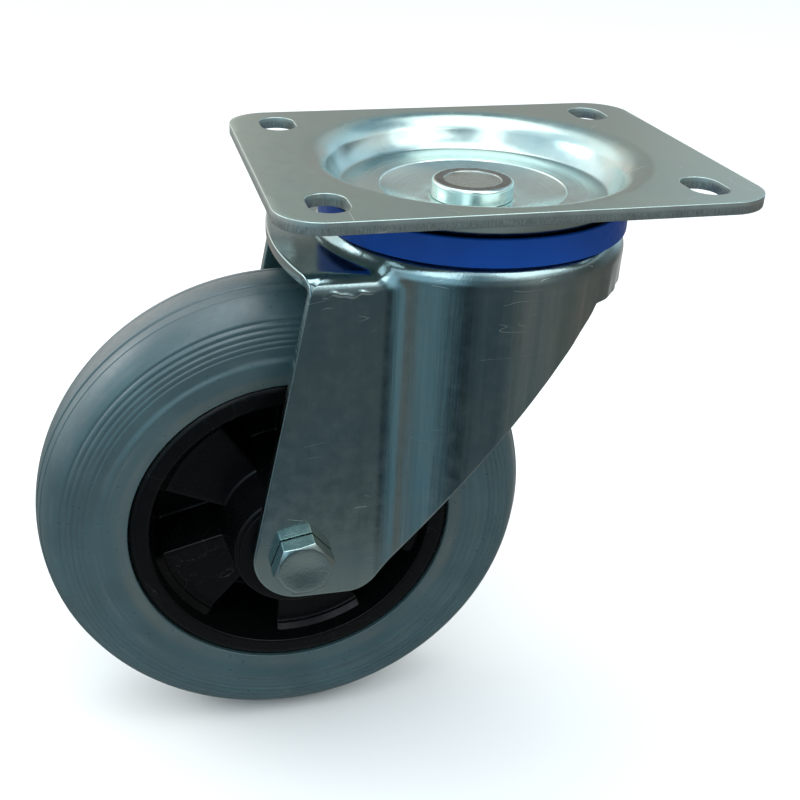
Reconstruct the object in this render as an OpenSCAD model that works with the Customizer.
// Swivel castor with a pressed steel fork, a slotted top plate and a rubber-tyred wheel.
// The origin is the centre of the plate's top face, on the swivel axis. +Z is up, the axle
// lies along X and the wheel trails towards -Y. All sizes are in millimetres.

/* [Mounting plate] */
// Size of the plate along X, the way the slots run
plate_x = 110; // [106:1:120]
// Size of the plate along Y, the way the wheel trails
plate_y = 135; // [130:1:150]
// Thickness of the plate's sheet
plate_t = 3.5; // [3:0.25:4]
// Radius of the plate's corners
plate_corner_r = 13; // [6:1:16]
// Distance between slot centres along X
hole_pitch_x = 80; // [76:1:84]
// Distance between slot centres along Y
hole_pitch_y = 105; // [102:1:112]
// Width of a slot, across Y
slot_w = 11; // [9:0.5:12]
// Length of a slot from end to end, along X
slot_l = 16; // [13:0.5:18]
// How much smaller the radius of the dish's steep wall is than the fork's head
dish_step = 3.2; // [2.9:0.1:3.8]
// Depth of the dish from the plate's top face to its floor
dish_depth = 10; // [9.5:0.25:12]
// Radius of the round edge where the plate turns down into the dish
dish_rim_r = 5; // [4.25:0.25:6]
// Radius of the round corner between the dish's wall and its floor
dish_floor_r = 5; // [4:0.25:5.25]
// How far the cone that falls to the pin reaches under the inner edge of the ball track
cone_lap = 0.5; // [0:0.25:1.5]
// Radius of the flat seat under the pin's head
cone_inner_r = 14; // [13:0.5:16]
// Height that the cone falls
cone_drop = 2.6; // [1.5:0.1:3]
// Height of the small step that rings the cone
cone_step = 0.4; // [0.2:0.1:0.6]

/* [King pin] */
// Radius of the pin's shank
pin_r = 8; // [6:0.5:9]
// Radius of the pin's head
pin_head_r = 12.4; // [11:0.2:12.8]
// Height of the pin's head above its seat
pin_head_h = 5; // [4:0.5:6]
// Radius of the round edge of the pin's head
pin_edge_r = 1.2; // [0.6:0.1:1.6]
// Radius of the shallow recess in the top of the head
pin_recess_r = 8.8; // [7:0.2:9.5]
// Depth of that recess
pin_recess_depth = 0.4; // [0.2:0.1:0.8]
// Radius of the riveted end below the lower race
pin_rivet_r = 11.5; // [10:0.5:12]
// Height of the riveted end
pin_rivet_h = 4.5; // [3:0.5:5.5]

/* [Swivel bearing] */
// Diameter of the bearing balls in the head
ball_d = 6; // [5.5:0.25:6.25]
// Half the width of the flat track that the balls run on
track_half = 5.75; // [5.25:0.25:6.25]
// Free distance along the circle between one ball and the next
ball_play = 0.4; // [0.2:0.1:1]
// Depth of each ball groove below its face
groove_depth = 1; // [0.8:0.05:1.2]
// Clearance between a ball and its groove
race_gap = 0.08; // [0.05:0.01:0.1]
// Thickness of the lower race's sheet
race_t = 3; // [2.5:0.25:3.5]
// Free distance between the lower race and the wall of the fork's head
race_side_gap = 3.7; // [3.2:0.1:4.4]
// Radius of the lower race's flat hub, where it meets the plate
race_hub_r = 17; // [15:0.5:18]
// Distance from the inner edge of the ball track to the foot of the lower race's slope
race_slope_gap = 2.5; // [1.5:0.25:3.5]

/* [Seal ring] */
// Thickness of the seal ring's upright wall
seal_wall = 1; // [0.8:0.1:1.1]
// Height of the seal ring's wall above the fork's crown
seal_h = 7.4; // [6:0.2:7.6]
// Height that the wall hangs below the crown's face
seal_skirt = 0.8; // [0.4:0.1:1.2]
// Thickness of the flange that lies on the crown
seal_flange_t = 1.2; // [0.8:0.1:1.6]
// Free distance between the flange and the balls
seal_ball_gap = 0.75; // [0.55:0.05:1.75]

/* [Fork] */
// Thickness of the fork's sheet
fork_t = 3.5; // [3:0.25:4]
// Distance between an end of the wheel's hub and the leg beside it
hub_side_gap = 1.5; // [1.3:0.1:2.5]
// Outer radius of the drawn head
head_r = 46.2; // [45.8:0.2:46.6]
// Outer radius of the head's shoulder
shoulder_r = 7; // [5.5:0.5:7.5]
// How far the web over the wheel lies below the crown
web_drop = 5.5; // [5:0.25:7]
// Outer radius of the bend between the web and a leg
bend_r = 5; // [4.25:0.25:6]
// Radius of the hollow crease between a flat leg and the drawn head
crease_r = 7; // [5:0.5:8]
// Radius of the hollow corner between the web and the drawn head
web_corner_r = 3; // [2:0.25:3.5]
// How far the front of a leg stands before the swivel axis, at the web
leg_front = 55.8; // [54:0.2:60]
// How far the web's front edge bows out past the legs
web_bow = 5.6; // [4:0.2:7]
// Radius of a leg's round lower corner, about the axle
leg_end_r = 14.8; // [13:0.2:16]
// Length of the flat lower edge behind the axle
leg_foot = 15; // [13:0.5:18]
// Radius of the corner between the lower edge and the rear edge
leg_heel_r = 10; // [6:1:12]
// Radius of the hollow sweep of the rear edge
rear_sweep_r = 500; // [400:20:800]
// Depth of the head's rear wall below the plate's top face
rear_wall_z = 35; // [34.5:0.5:38]
// How far behind the swivel axis the rear edge meets the rear wall
rear_corner = 27.5; // [25:0.5:30]

/* [Axle] */
// Distance from the swivel axis to the axle
swivel_offset = 57.5; // [54:0.5:60]
// Diameter of the axle bolt
bolt_d = 10; // [8:0.5:10]
// Width across flats of the bolt head and the nut
hex_af = 17; // [16:0.5:18]
// Height of the bolt head
bolt_head_h = 6.4; // [5.5:0.1:7.5]
// How far the hexagon of the bolt head is turned
bolt_turn = 8; // [0:1:30]
// Diameter of the flat circle that the chamfer leaves on the head and on the nut
hex_face_d = 15.2; // [14.6:0.2:16]
// Height of the nut's hexagon
nut_h = 8; // [7:0.5:9]
// Height of the round collar that holds the nut's locking insert
nut_collar_h = 2.6; // [2:0.2:3.2]
// Diameter of that collar
nut_collar_d = 15.3; // [14.4:0.1:15.8]
// Thickness of the lip that the collar turns over the insert
nut_lip_t = 0.5; // [0.3:0.1:0.8]
// Thickness of the insert's wall
insert_wall = 1.2; // [0.8:0.1:1.6]
// How far the bolt's end stands out of the nut
bolt_tail = 2.5; // [1:0.5:5]
// Clearance around the bolt in the legs and in the axle tube
bolt_gap = 0.15; // [0.1:0.05:0.3]
// Outer diameter of the axle tube
tube_d = 15; // [14.5:0.5:16]
// Thickness of a thrust washer
thrust_t = 0.6; // [0.4:0.1:1]
// Outer radius of a thrust washer
thrust_r = 12; // [10:0.5:14]

/* [Wheel bearing] */
// Play of the cage along the axle, at each end
cage_play = 0.95; // [0.3:0.05:3]
// Outer radius of the steel sleeve that the rollers run in
sleeve_outer_r = 14; // [13.5:0.25:15]
// Wall of the steel sleeve
sleeve_t = 1.4; // [1:0.1:1.5]
// Clearance of the rollers in the bearing
roller_gap = 0.05; // [0.03:0.01:0.1]
// Wall left between one cage window and the next
cage_bar = 1.2; // [0.9:0.1:1.6]
// Thickness of the cage
cage_t = 3.2; // [2.6:0.2:3.6]
// Length of the cage's closed ring at each end
cage_end = 2.5; // [2:0.25:3]

/* [Wheel] */
// Diameter of the wheel
wheel_d = 160; // [156:1:164]
// Width of the tyre
tyre_w = 40; // [38:0.5:42]
// Free height between the top of the tyre and the lower race
tyre_clearance = 6.68; // [4:0.02:12]
// Radius of the rim's bed, where the tyre sits
rim_bed_r = 48; // [46:0.5:49]
// Height of the rim's edges above the bed
rim_edge_h = 4; // [3:0.5:5]
// Inner radius of the rim's ring
rim_ring_r = 42; // [40:0.5:44]
// Thickness of each rim edge
rim_edge_t = 3; // [2:0.25:4]
// How far the rim stands back from the tyre's side
rim_inset = 1.7; // [1:0.1:2.5]
// Number of pockets in each side of the rim
pocket_count = 5; // [4:1:6]
// Share of the circle taken by the pockets on the bolt head's side
pocket_share = 0.53; // [0.45:0.01:0.58]
// How far the pockets are turned about the axle
pocket_turn = 4; // [0:1:72]
// Thickness of the disc's panels and ribs
disc_t = 4; // [3:0.25:5]
// Distance from the wheel's middle to the outer face of a panel
panel_x = 12; // [10:0.5:13.5]
// Radius of the hub at the disc
hub_root_r = 21.5; // [20:0.5:24]
// Radius of the hub at its ends
hub_end_r = 20; // [18.5:0.5:21]
// Width of the hub
hub_l = 59; // [56:0.5:59.5]
// Radius of the cap's seat in the hub
cap_seat_r = 16.5; // [15.5:0.25:17.5]
// Depth of the cap's seat in the hub
cap_seat_depth = 6; // [5:0.25:6.5]
// Thickness of the cap's flange outside the hub
cap_flange_t = 0.6; // [0.4:0.1:0.6]
// How far the flange stands back from the edge of the hub
cap_flange_inset = 1.5; // [1:0.1:2.2]
// Clearance between the cap and the axle tube
cap_gap = 0.2; // [0.1:0.05:0.4]

/* [Tyre] */
// Radius of the crown across the tread
crown_r = 29; // [26:1:34]
// Half width of the tread
tread_half = 8.9; // [8:0.1:10]
// Radius of the tyre's shoulders
tyre_shoulder_r = 16.2; // [15:0.2:17]
// Distance from the middle of the tyre to the centre of a groove in the tread
tread_groove_x = 5.4; // [4:0.2:7]
// Radius of each groove's section in the tread
tread_groove_r = 0.55; // [0.3:0.05:0.8]
// Number of fine grooves in each side of the tyre
side_grooves = 5; // [0:1:6]
// Radius of the innermost of them, about the axle
side_groove_start = 65.6; // [64.6:0.2:66.4]
// Distance from one fine groove to the next
side_groove_step = 1.75; // [1.4:0.05:1.8]
// Radius of each fine groove's section
side_groove_r = 0.35; // [0.2:0.05:0.5]

/* [Hidden] */
$fn = 96;

// Small distance by which a cutting shape passes the face that it cuts
pass = 1;
// Small distance by which a hollow corner cuts into the two faces that it joins
bite = 0.02;
// Clearance between two pieces of one body that are pushed together
push_gap = 0.05;
// Facets of the widest arcs and of the finest grooves
wide_arc_fn = 360;
groove_fn = 24;

// Colours of the finishes
zinc = [0.66, 0.71, 0.71];
zinc_dark = [0.45, 0.50, 0.53];
bright_steel = [0.75, 0.76, 0.78];
seal_blue = [0.08, 0.22, 0.62];
black_plastic = [0.06, 0.06, 0.07];
grey_rubber = [0.36, 0.45, 0.50];
natural_nylon = [0.86, 0.86, 0.80];

// Radii of the head, from its wall in to the pin
ball_r = ball_d / 2;
seal_outer_r = head_r;
dish_wall_r = head_r - dish_step;
race_outer_r = head_r - fork_t - race_side_gap;
ball_pitch_r = race_outer_r - track_half;
seal_flange_r = ball_pitch_r + ball_r + seal_ball_gap;
crown_hole_r = ball_pitch_r - track_half;
cone_outer_r = crown_hole_r + cone_lap;
race_slope_r = crown_hole_r - race_slope_gap;

// Heights of the head's layers, from the plate down to the lower race
band_z = -(dish_depth + plate_t);
seat_z = -(dish_depth + cone_step + cone_drop);
upper_ball_z = band_z + groove_depth - race_gap - ball_r;
crown_z = upper_ball_z - ball_r - race_gap + groove_depth;
crown_under_z = crown_z - fork_t;
lower_ball_z = crown_under_z + groove_depth - race_gap - ball_r;
race_z = lower_ball_z - ball_r - race_gap + groove_depth;
race_hub_z = seat_z - plate_t;
ball_count = floor(360 / (2 * asin((ball_r + ball_play / 2) / ball_pitch_r)));

// Fork
fork_gap = hub_l + 2 * hub_side_gap;
leg_x = fork_gap / 2 + fork_t;
web_z = crown_z - web_drop;
knee_z = web_z - bend_r;
castor_h = wheel_d + tyre_clearance + race_t - race_z;
fork_low = -castor_h;

// Axle and wheel
axle_y = -swivel_offset;
axle_z = wheel_d / 2 - castor_h;
bolt_r = bolt_d / 2;
bore_r = bolt_r + bolt_gap;
tube_r = tube_d / 2;
sleeve_inner_r = sleeve_outer_r - sleeve_t;
sleeve_half = hub_l / 2 - cap_seat_depth;
cage_half = sleeve_half - cage_play;
roller_l = 2 * (cage_half - cage_end - push_gap);
roller_r = (sleeve_inner_r - tube_r) / 2 - roller_gap;
roller_pitch_r = (sleeve_inner_r + tube_r) / 2;
roller_count = floor(360 / (2 * asin((roller_r + push_gap + cage_bar / 2) / roller_pitch_r)));
nut_end_x = -leg_x - nut_h - nut_collar_h;
rim_face_x = tyre_w / 2 - rim_inset;
rim_edge_r = rim_bed_r + rim_edge_h;

// Tyre's section
tyre_half = tyre_w / 2;
shoulder_c = tyre_half - tyre_shoulder_r;
crown_c = wheel_d / 2 - crown_r;
tread_edge_r = crown_c + sqrt(crown_r * crown_r - tread_half * tread_half);
shoulder_step = 0.2;
shoulder_reach = tread_half - shoulder_c;
shoulder_fall = sqrt(tyre_shoulder_r * tyre_shoulder_r - shoulder_reach * shoulder_reach);
shoulder_y = tread_edge_r - shoulder_step - shoulder_fall;
side_drop = shoulder_y - rim_edge_r;
side_r = (side_drop * side_drop + rim_inset * rim_inset) / (2 * rim_inset);

// Puts a shape that was drawn about Z onto the axle, with its +Z along +X
module on_axle() {
    translate([0, axle_y, axle_z]) rotate([0, 90, 0]) children();
}

// Cuts or fills one ring of a ball groove on the circle that the balls run on
module ball_groove(z) {
    rotate_extrude() translate([ball_pitch_r, z]) circle(r = ball_r + race_gap);
}

// Ring of balls at one height
module ball_ring(z) {
    for (i = [0 : ball_count - 1])
        rotate([0, 0, i * 360 / ball_count])
            translate([ball_pitch_r, 0, z]) sphere(r = ball_r);
}

// Rounded outline of the plate
module plate_outline() {
    inner_x = plate_x - 2 * plate_corner_r;
    inner_y = plate_y - 2 * plate_corner_r;
    square([plate_x, inner_y], center = true);
    square([inner_x, plate_y], center = true);
    for (sx = [-1, 1], sy = [-1, 1])
        translate([sx * inner_x / 2, sy * inner_y / 2]) circle(r = plate_corner_r);
}

// Outline of one slot
module slot_outline() {
    reach = (slot_l - slot_w) / 2;
    square([2 * reach, slot_w], center = true);
    for (sx = [-1, 1]) translate([sx * reach, 0]) circle(d = slot_w);
}

// Half section of a bowl with a round floor corner, open at the top
module bowl_section(wall_r, corner_r, depth, top) {
    translate([0, -depth]) square([wall_r - corner_r, depth + top]);
    translate([0, corner_r - depth]) square([wall_r, depth - corner_r + top]);
    intersection() {
        translate([wall_r - corner_r, corner_r - depth]) circle(r = corner_r);
        translate([wall_r - corner_r, -depth]) square(corner_r);
    }
}

// Half section of the flare that rounds the edge where a plate turns down into a bowl
module flare_section(wall_r, rim_r, centre_r, top_z, low_z) {
    difference() {
        translate([wall_r - pass, low_z]) square([centre_r - wall_r + pass, top_z - low_z]);
        translate([centre_r, low_z]) circle(r = rim_r);
    }
}

// Section of the cone that falls from the floor to the pin's seat
module cone_section(floor_z) {
    polygon([
        [0, floor_z + pass],
        [cone_outer_r, floor_z + pass],
        [cone_outer_r, floor_z - cone_step],
        [cone_inner_r, floor_z - cone_step - cone_drop],
        [0, floor_z - cone_step - cone_drop]
    ]);
}

module mounting_plate() {
    flare_c = dish_wall_r + dish_rim_r;
    color(zinc) difference() {
        union() {
            translate([0, 0, -plate_t]) linear_extrude(plate_t) plate_outline();
            rotate_extrude() {
                bowl_section(dish_wall_r + plate_t, dish_floor_r + plate_t, dish_depth + plate_t, -pass);
                cone_section(-dish_depth - plate_t);
                flare_section(dish_wall_r + plate_t, dish_rim_r - plate_t, flare_c, -pass, -dish_rim_r);
            }
        }
        rotate_extrude() {
            bowl_section(dish_wall_r, dish_floor_r, dish_depth, pass);
            cone_section(-dish_depth);
            flare_section(dish_wall_r, dish_rim_r, flare_c, pass, -dish_rim_r);
        }
        for (sx = [-1, 1], sy = [-1, 1])
            translate([sx * hole_pitch_x / 2, sy * hole_pitch_y / 2, -plate_t - pass])
                linear_extrude(plate_t + 2 * pass) slot_outline();
        ball_groove(upper_ball_z);
        translate([0, 0, race_hub_z - pass]) cylinder(r = pin_r, h = plate_t + 2 * pass);
    }
}

module king_pin() {
    rivet_z = race_hub_z - race_t;
    rivet_half = pin_rivet_h / 2;
    color(zinc_dark) {
        rotate_extrude() difference() {
            union() {
                translate([0, seat_z]) square([pin_head_r, pin_head_h - pin_edge_r]);
                translate([0, seat_z]) square([pin_head_r - pin_edge_r, pin_head_h]);
                translate([pin_head_r - pin_edge_r, seat_z + pin_head_h - pin_edge_r]) circle(r = pin_edge_r);
            }
            translate([0, seat_z + pin_head_h - pin_recess_depth]) square([pin_recess_r, pass]);
        }
        translate([0, 0, rivet_z - pass]) cylinder(r = pin_r, h = seat_z - rivet_z + 2 * pass);
        translate([0, 0, rivet_z - rivet_half]) cylinder(r = pin_rivet_r, h = rivet_half);
        translate([0, 0, rivet_z - pin_rivet_h])
            cylinder(r1 = pin_rivet_r - rivet_half, r2 = pin_rivet_r, h = rivet_half);
    }
}

module lower_race() {
    slope = race_hub_z - race_z;
    run = race_slope_r - race_hub_r;
    back = race_t * (sqrt(slope * slope + run * run) - run) / slope;
    color(zinc) difference() {
        rotate_extrude() polygon([
            [pin_r, race_hub_z],
            [race_hub_r, race_hub_z],
            [race_slope_r, race_z],
            [race_outer_r, race_z],
            [race_outer_r, race_z - race_t],
            [race_slope_r - back, race_z - race_t],
            [race_hub_r - back, race_hub_z - race_t],
            [pin_r, race_hub_z - race_t]
        ]);
        ball_groove(lower_ball_z);
    }
}

module upper_balls() {
    color(bright_steel) ball_ring(upper_ball_z);
}

module lower_balls() {
    color(bright_steel) ball_ring(lower_ball_z);
}

module seal_ring() {
    wall_r = seal_outer_r - seal_wall;
    color(seal_blue) rotate_extrude() {
        translate([wall_r, crown_z - seal_skirt]) square([seal_wall, seal_h + seal_skirt]);
        translate([seal_flange_r, crown_z]) square([wall_r + seal_wall / 2 - seal_flange_r, seal_flange_t]);
    }
}

// Half section of the drawn head, full to the axis
module head_section(wall_r, corner_r, top_z) {
    translate([0, fork_low]) square([wall_r, top_z - corner_r - fork_low]);
    translate([0, fork_low]) square([wall_r - corner_r, top_z - fork_low]);
    translate([wall_r - corner_r, top_z - corner_r]) circle(r = corner_r);
}

// Section of the channel made by the web and the two legs, full inside, drawn in X and Z
module channel_section(half_w, corner_r, top_z) {
    translate([-half_w, fork_low]) square([2 * half_w, top_z - corner_r - fork_low]);
    translate([corner_r - half_w, fork_low]) square([2 * (half_w - corner_r), top_z - fork_low]);
    for (sx = [-1, 1]) translate([sx * (half_w - corner_r), top_z - corner_r]) circle(r = corner_r);
}

// Plan of the crease that joins a flat leg to the round head on one side
module crease_plan(half_w, wall_r, hollow_r) {
    cx = half_w + hollow_r;
    cy = -sqrt(pow(wall_r + hollow_r, 2) - cx * cx);
    tx = cx * wall_r / (wall_r + hollow_r);
    ty = cy * wall_r / (wall_r + hollow_r);
    for (sx = [-1, 1]) scale([sx, 1]) difference() {
        polygon([[half_w - pass, cy], [cx, cy], [tx, ty], [tx - 2 * pass, ty], [half_w - 2 * pass, ty]]);
        translate([cx, cy]) circle(r = hollow_r + bite);
    }
}

// Ring that fills the hollow corner between the web and the head
module web_corner(wall_r, hollow_r, floor_z) {
    reach = asin((leg_x - bend_r) / (head_r + web_corner_r));
    centre_r = head_r + web_corner_r;
    centre_z = web_z + web_corner_r;
    rotate([0, 0, 270 - reach]) rotate_extrude(angle = 2 * reach) difference() {
        translate([wall_r - pass, floor_z - pass])
            square([centre_r - wall_r + pass, centre_z - floor_z + pass]);
        translate([centre_r, centre_z]) circle(r = hollow_r + bite);
    }
}

// Everything that lies under one skin of the fork, filled solid
module fork_body(inset) {
    top_z = crown_z - inset;
    rotate_extrude() head_section(head_r - inset, shoulder_r - inset, top_z);
    rotate([90, 0, 0]) linear_extrude(2 * leg_front)
        channel_section(leg_x - inset, bend_r - inset, web_z - inset);
    translate([0, 0, fork_low]) linear_extrude(knee_z - fork_low)
        crease_plan(leg_x - inset, head_r - inset, crease_r + inset);
    web_corner(head_r - inset, web_corner_r + inset, web_z - inset);
}

// Side outline of the fork, drawn in Y and Z
module fork_outline() {
    // Front edge, tangent to the round end of the leg
    dy = axle_y + leg_front;
    dz = axle_z - knee_z;
    reach = sqrt(dy * dy + dz * dz);
    lean = atan2(dz, dy) - asin(leg_end_r / reach);
    run = sqrt(reach * reach - leg_end_r * leg_end_r);
    tangent = [-leg_front + run * cos(lean), knee_z + run * sin(lean)];
    // Rear edge, a hollow sweep that ends at the rear wall
    foot_z = axle_z - leg_end_r;
    heel = [axle_y + leg_foot, foot_z + leg_heel_r];
    top = [rear_corner, -rear_wall_z];
    span = norm(top - heel);
    a = rear_sweep_r + leg_heel_r;
    along = (span * span + a * a - rear_sweep_r * rear_sweep_r) / (2 * span);
    side = sqrt(a * a - along * along);
    u = (top - heel) / span;
    sweep = heel + along * u + side * [u[1], -u[0]];
    touch = heel + leg_heel_r * (sweep - heel) / a;
    difference() {
        union() {
            polygon([
                [-2 * leg_front, 0],
                [-2 * leg_front, knee_z],
                [-leg_front, knee_z],
                tangent,
                [axle_y, axle_z],
                [axle_y, foot_z],
                [heel[0], foot_z],
                heel,
                touch,
                top,
                [2 * head_r, -rear_wall_z],
                [2 * head_r, 0]
            ]);
            translate([axle_y, axle_z]) circle(r = leg_end_r);
            translate(heel) circle(r = leg_heel_r);
        }
        intersection() {
            translate(sweep) circle(r = rear_sweep_r, $fn = wide_arc_fn);
            translate([touch[0], foot_z - pass]) square([top[0] - touch[0], top[1] - foot_z + pass]);
        }
    }
}

module fork() {
    bow_r = (leg_x * leg_x + web_bow * web_bow) / (2 * web_bow);
    color(zinc) difference() {
        intersection() {
            fork_body(0);
            rotate([90, 0, 90]) translate([0, 0, -2 * head_r]) linear_extrude(4 * head_r) fork_outline();
        }
        fork_body(fork_t);
        difference() {
            translate([-2 * head_r, -2 * leg_front - pass, knee_z]) cube([4 * head_r, 2 * leg_front, -knee_z]);
            translate([0, bow_r - leg_front - web_bow, knee_z - pass])
                cylinder(r = bow_r, h = pass - knee_z, $fn = wide_arc_fn);
        }
        ball_groove(upper_ball_z);
        ball_groove(lower_ball_z);
        translate([0, 0, crown_under_z - pass]) cylinder(r = crown_hole_r, h = fork_t + 2 * pass);
        on_axle() cylinder(r = bore_r, h = 4 * leg_x, center = true);
    }
}

// Hexagon with its outer corners chamfered, lying on Z = 0
module hex_blank(height) {
    corner_r = hex_af / 2 / cos(30);
    chamfer = (corner_r - hex_face_d / 2) * tan(30);
    intersection() {
        cylinder(r = corner_r, h = height, $fn = 6);
        rotate_extrude() polygon([
            [0, 0],
            [corner_r + pass, 0],
            [corner_r + pass, height - chamfer - pass * tan(30)],
            [hex_face_d / 2, height],
            [0, height]
        ]);
    }
}

module axle_bolt() {
    shank_l = leg_x - nut_end_x + bolt_tail;
    color(zinc) on_axle() {
        translate([0, 0, leg_x]) rotate([0, 0, 90 + bolt_turn]) hex_blank(bolt_head_h);
        translate([0, 0, leg_x - shank_l]) cylinder(r = bolt_r, h = shank_l + pass);
    }
}

module axle_nut() {
    color(zinc) on_axle() difference() {
        union() {
            translate([0, 0, -leg_x]) mirror([0, 0, 1]) hex_blank(nut_h);
            translate([0, 0, nut_end_x]) cylinder(d = nut_collar_d, h = nut_collar_h + pass);
        }
        translate([0, 0, nut_end_x - pass]) cylinder(r = bolt_r + push_gap, h = nut_h + nut_collar_h + 2 * pass);
        translate([0, 0, nut_end_x + nut_lip_t]) cylinder(r = bolt_r + insert_wall, h = nut_collar_h);
    }
}

module nut_insert() {
    color(natural_nylon) on_axle() translate([0, 0, nut_end_x + nut_lip_t]) difference() {
        cylinder(r = bolt_r + insert_wall - push_gap, h = nut_collar_h - push_gap);
        translate([0, 0, -pass]) cylinder(r = bolt_r + push_gap, h = nut_collar_h + 2 * pass);
    }
}

module axle_tube() {
    color(bright_steel) on_axle() difference() {
        cylinder(r = tube_r, h = fork_gap, center = true);
        cylinder(r = bore_r, h = fork_gap + 2 * pass, center = true);
    }
}

module thrust_washer() {
    color(bright_steel) on_axle() translate([0, 0, fork_gap / 2 - thrust_t]) difference() {
        cylinder(r = thrust_r, h = thrust_t);
        translate([0, 0, -pass]) cylinder(r = tube_r + push_gap, h = thrust_t + 2 * pass);
    }
}

module thrust_washer_right() {
    thrust_washer();
}

module thrust_washer_left() {
    mirror([1, 0, 0]) thrust_washer();
}

// Rollers standing on Z in their ring, each grown by a gap
module roller_ring(gap) {
    for (i = [0 : roller_count - 1])
        rotate([0, 0, i * 360 / roller_count]) translate([roller_pitch_r, 0, 0])
            cylinder(r = roller_r + gap, h = roller_l + 2 * gap, center = true);
}

module bearing_cage() {
    color(natural_nylon) on_axle() difference() {
        cylinder(r = roller_pitch_r + cage_t / 2, h = 2 * cage_half, center = true);
        cylinder(r = roller_pitch_r - cage_t / 2, h = 2 * cage_half + 2 * pass, center = true);
        roller_ring(push_gap);
    }
}

module bearing_rollers() {
    color(bright_steel) on_axle() roller_ring(0);
}

module bearing_sleeve() {
    color(bright_steel) on_axle() difference() {
        cylinder(r = sleeve_outer_r, h = 2 * sleeve_half, center = true);
        cylinder(r = sleeve_inner_r, h = 2 * sleeve_half + 2 * pass, center = true);
    }
}

// Cap that closes the hub and keeps the bearing in
module hub_cap() {
    seat_x = hub_l / 2 - cap_seat_depth;
    bore = tube_r + cap_gap;
    color(black_plastic) on_axle() rotate_extrude() {
        translate([bore, seat_x]) square([cap_seat_r - push_gap - bore, cap_seat_depth + cap_flange_t]);
        translate([bore, hub_l / 2]) square([hub_end_r - cap_flange_inset - bore, cap_flange_t]);
    }
}

module hub_cap_right() {
    hub_cap();
}

module hub_cap_left() {
    mirror([1, 0, 0]) hub_cap();
}

// Half section of the rim's ring, full to the bed, with the section's axis upright
module rim_ring_section() {
    translate([rim_ring_r, -rim_face_x]) square([rim_bed_r - rim_ring_r, 2 * rim_face_x]);
    for (s = [-1, 1])
        translate([rim_ring_r, s > 0 ? rim_face_x - rim_edge_t : -rim_face_x])
            square([rim_edge_r - rim_ring_r, rim_edge_t]);
}

// Half section of the hub
module hub_section() {
    half = hub_l / 2;
    difference() {
        polygon([
            [sleeve_outer_r, -half],
            [hub_end_r, -half],
            [hub_root_r, -rim_face_x],
            [hub_root_r, rim_face_x],
            [hub_end_r, half],
            [sleeve_outer_r, half]
        ]);
        for (s = [-1, 1])
            translate([sleeve_outer_r - pass, s > 0 ? half - cap_seat_depth : -half - pass])
                square([cap_seat_r - sleeve_outer_r + pass, cap_seat_depth + pass]);
    }
}

// Wedge between two ribs, as wide as the given angle less one rib
module pocket_plan(angle) {
    reach = 2 * rim_ring_r;
    translate([disc_t / 2 / sin(angle / 2), 0]) polygon([
        [0, 0],
        [reach * cos(angle / 2), -reach * sin(angle / 2)],
        [2 * reach, 0],
        [reach * cos(angle / 2), reach * sin(angle / 2)]
    ]);
}

// Disc that waves between the two sides: pockets sunk from the right, and between them from the left
module pocket_disc() {
    pitch = 360 / pocket_count;
    pocket = pitch * pocket_share;
    sunk = 2 * panel_x - disc_t;
    difference() {
        translate([0, 0, -panel_x]) linear_extrude(2 * panel_x) difference() {
            circle(r = (rim_ring_r + rim_bed_r) / 2);
            circle(r = (sleeve_outer_r + hub_root_r) / 2);
        }
        for (i = [0 : pocket_count - 1]) rotate([0, 0, 270 - pocket_turn + i * pitch]) {
            translate([0, 0, panel_x - sunk]) linear_extrude(sunk + pass) pocket_plan(pocket);
            rotate([0, 0, pitch / 2]) translate([0, 0, -panel_x - pass])
                linear_extrude(sunk + pass) pocket_plan(pitch - pocket);
        }
    }
}

module rim() {
    color(black_plastic) on_axle() {
        rotate_extrude() rim_ring_section();
        rotate_extrude() hub_section();
        pocket_disc();
    }
}

// Half section of the tyre above the rim's bed, with the section's axis upright
module tyre_section() {
    groove_y = crown_c + sqrt(crown_r * crown_r - tread_groove_x * tread_groove_x);
    difference() {
        union() {
            translate([rim_bed_r, rim_edge_t - rim_face_x])
                square([shoulder_y - rim_bed_r, 2 * (rim_face_x - rim_edge_t)]);
            intersection() {
                translate([rim_edge_r, -tyre_half]) square([shoulder_y - rim_edge_r, tyre_w]);
                translate([shoulder_y, tyre_half - side_r]) circle(r = side_r);
                translate([shoulder_y, side_r - tyre_half]) circle(r = side_r);
            }
            translate([shoulder_y, -shoulder_c]) square([tyre_shoulder_r, 2 * shoulder_c]);
            intersection() {
                translate([crown_c, 0]) circle(r = crown_r);
                translate([shoulder_y - pass, -tread_half]) square([wheel_d, 2 * tread_half]);
            }
            for (s = [-1, 1]) intersection() {
                translate([shoulder_y, s * shoulder_c]) circle(r = tyre_shoulder_r);
                translate([shoulder_y, -tyre_w]) square([wheel_d, 2 * tyre_w]);
            }
        }
        for (s = [-1, 1]) {
            translate([groove_y, s * tread_groove_x]) circle(r = tread_groove_r, $fn = groove_fn);
            for (i = [0 : side_grooves - 1]) side_groove(side_groove_start + i * side_groove_step, s);
        }
    }
}

// One fine groove in the side, at radius r about the axle
module side_groove(r, s) {
    over = r - shoulder_y;
    x = over > 0
        ? shoulder_c + sqrt(tyre_shoulder_r * tyre_shoulder_r - over * over)
        : tyre_half - side_r + sqrt(side_r * side_r - over * over);
    translate([r, s * x]) circle(r = side_groove_r, $fn = groove_fn);
}

module tyre() {
    color(grey_rubber) on_axle() rotate_extrude() tyre_section();
}

mounting_plate();
king_pin();
lower_race();
upper_balls();
lower_balls();
seal_ring();
fork();
axle_bolt();
axle_nut();
nut_insert();
axle_tube();
thrust_washer_right();
thrust_washer_left();
bearing_cage();
bearing_rollers();
bearing_sleeve();
hub_cap_right();
hub_cap_left();
rim();
tyre();
